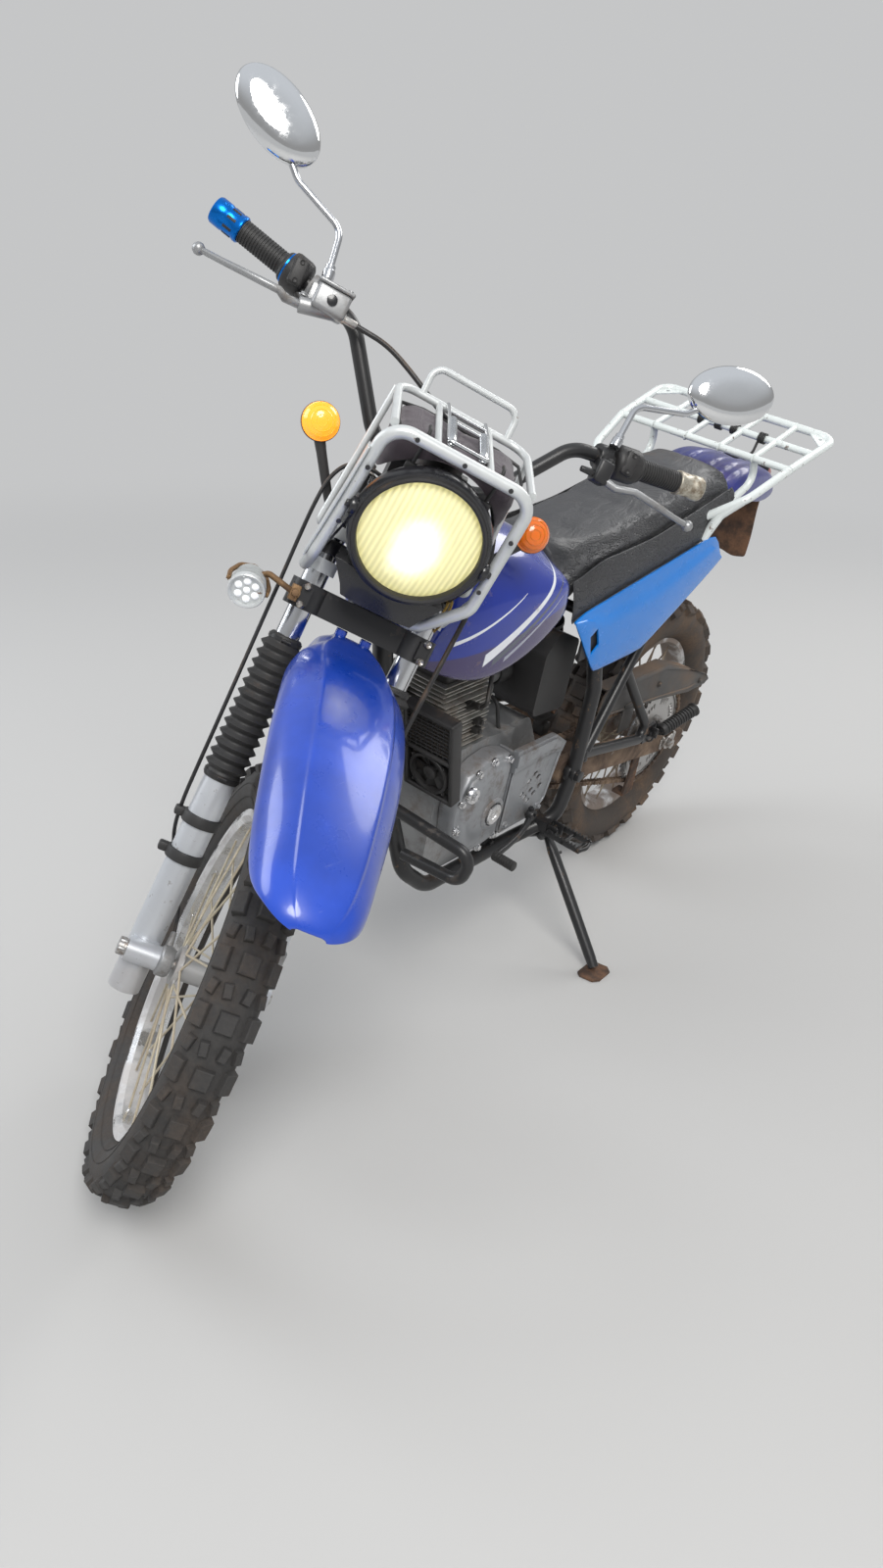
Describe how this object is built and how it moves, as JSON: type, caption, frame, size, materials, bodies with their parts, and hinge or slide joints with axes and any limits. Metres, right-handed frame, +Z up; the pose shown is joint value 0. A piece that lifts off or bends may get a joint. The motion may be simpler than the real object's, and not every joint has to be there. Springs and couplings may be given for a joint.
{
  "type": "dual sport motorcycle",
  "caption": "Dual sport motorcycle with high front fender, knobby tyres, headlight guard, luggage racks and spot lamp, leaning on its side stand with the steering on its left stop.",
  "frame": {"origin": "middle of the whole object's footprint, on the ground", "axes": "+Z up, -Y towards the front of the motorcycle, +X to the rider's left"},
  "size_m": [0.7139, 2.0036, 1.5564],
  "materials": {
    "front_tyre": "knobby tread, dusty",
    "front_rim": "polished rim, dull spokes",
    "front_disc": "worn steel",
    "rear_tyre": "knobby tread, dusty",
    "rear_rim": "dusty alloy",
    "rear_sprocket": "worn steel",
    "fork_legs": "silver paint",
    "fork_tubes": "hard chrome",
    "fork_gaiters": "ribbed rubber",
    "lower_clamp": "black paint, worn",
    "upper_clamp": "black paint, worn",
    "front_axle": "zinc plated",
    "handlebar": "black paint",
    "grips": "knurled rubber",
    "switch_pods": "moulded black",
    "hand_levers": "silver castings and levers",
    "mirrors": "chrome",
    "front_signals": "amber lenses",
    "spot_lamp": "finned alloy",
    "front_fender": "deep blue gloss",
    "headlight_shell": "black gloss",
    "headlight_lens": "fluted glass",
    "headlight_guard": "silver paint",
    "front_rack": "silver paint",
    "front_bag": "dark woven fabric",
    "instruments": "black",
    "frame": "black paint, dusty",
    "swingarm": "silver paint under brown dust",
    "rear_axle": "zinc plated",
    "brake_plate": "dusty casting",
    "rear_shock": "black spring",
    "chain": "oily steel",
    "chain_guard": "dark grey, dusty",
    "crankcase": "cast alloy",
    "cylinder": "black and alloy fins",
    "engine_covers": "grey paint, dusty",
    "air_box": "moulded black",
    "carburettor": "cast alloy",
    "oil_cooler": "black paint",
    "exhaust": "black heat paint",
    "fuel_tank": "deep blue gloss with swooshes",
    "seat": "black vinyl, wrinkled",
    "side_covers": "bright azure gloss",
    "rear_fender": "dark blue gloss",
    "tail_light": "red lens, black base",
    "mud_flap": "rusty brown",
    "rear_rack": "silver paint, worn",
    "foot_pegs": "worn black steel, rubber",
    "foot_levers": "black steel, rubber",
    "engine_guard": "black paint, worn",
    "side_stand": "black paint, worn"
  },
  "bodies": {
    "chassis": {"frame": "frame", "swingarm": "swingarm", "rear_axle": "rear_axle", "brake_plate": "brake_plate", "rear_shock": "rear_shock", "chain": "chain", "chain_guard": "chain_guard", "crankcase": "crankcase", "cylinder": "cylinder", "engine_covers": "engine_covers", "air_box": "air_box", "carburettor": "carburettor", "oil_cooler": "oil_cooler", "exhaust": "exhaust", "fuel_tank": "fuel_tank", "seat": "seat", "side_covers": "side_covers", "rear_fender": "rear_fender", "tail_light": "tail_light", "mud_flap": "mud_flap", "rear_rack": "rear_rack", "foot_pegs": "foot_pegs", "foot_levers": "foot_levers", "engine_guard": "engine_guard"},
    "steering": {"fork_legs": "fork_legs", "fork_tubes": "fork_tubes", "fork_gaiters": "fork_gaiters", "lower_clamp": "lower_clamp", "upper_clamp": "upper_clamp", "front_axle": "front_axle", "handlebar": "handlebar", "grips": "grips", "switch_pods": "switch_pods", "hand_levers": "hand_levers", "mirrors": "mirrors", "front_signals": "front_signals", "spot_lamp": "spot_lamp", "front_fender": "front_fender", "headlight_shell": "headlight_shell", "headlight_lens": "headlight_lens", "headlight_guard": "headlight_guard", "front_rack": "front_rack", "front_bag": "front_bag", "instruments": "instruments"},
    "front_wheel": {"front_tyre": "front_tyre", "front_rim": "front_rim", "front_disc": "front_disc"},
    "rear_wheel": {"rear_tyre": "rear_tyre", "rear_rim": "rear_rim", "rear_sprocket": "rear_sprocket"},
    "stand": {"side_stand": "side_stand"}
  },
  "joints": [
    {"name": "steering", "type": "hinge", "parent": "chassis", "child": "steering", "pos_m": [-0.01971, -0.38367, 0.86737], "axis": [0.1677, 0.4556, 0.8742], "range_deg": [-90, 0]},
    {"name": "front_wheel_spin", "type": "hinge", "parent": "steering", "child": "front_wheel", "pos_m": [-0.07676, -0.72088, 0.31465], "axis": [0.6326, 0.6304, -0.4499], "continuous": true},
    {"name": "rear_wheel_spin", "type": "hinge", "parent": "chassis", "child": "rear_wheel", "pos_m": [-0.12598, 0.67144, 0.32292], "axis": [0.982, 0.0013, -0.1891], "continuous": true},
    {"name": "side_stand_fold", "type": "hinge", "parent": "chassis", "child": "stand", "pos_m": [-0.01545, 0.16295, 0.24815], "axis": [0.7993, -0.0721, 0.5965], "range_deg": [0, 96]}
  ]
}
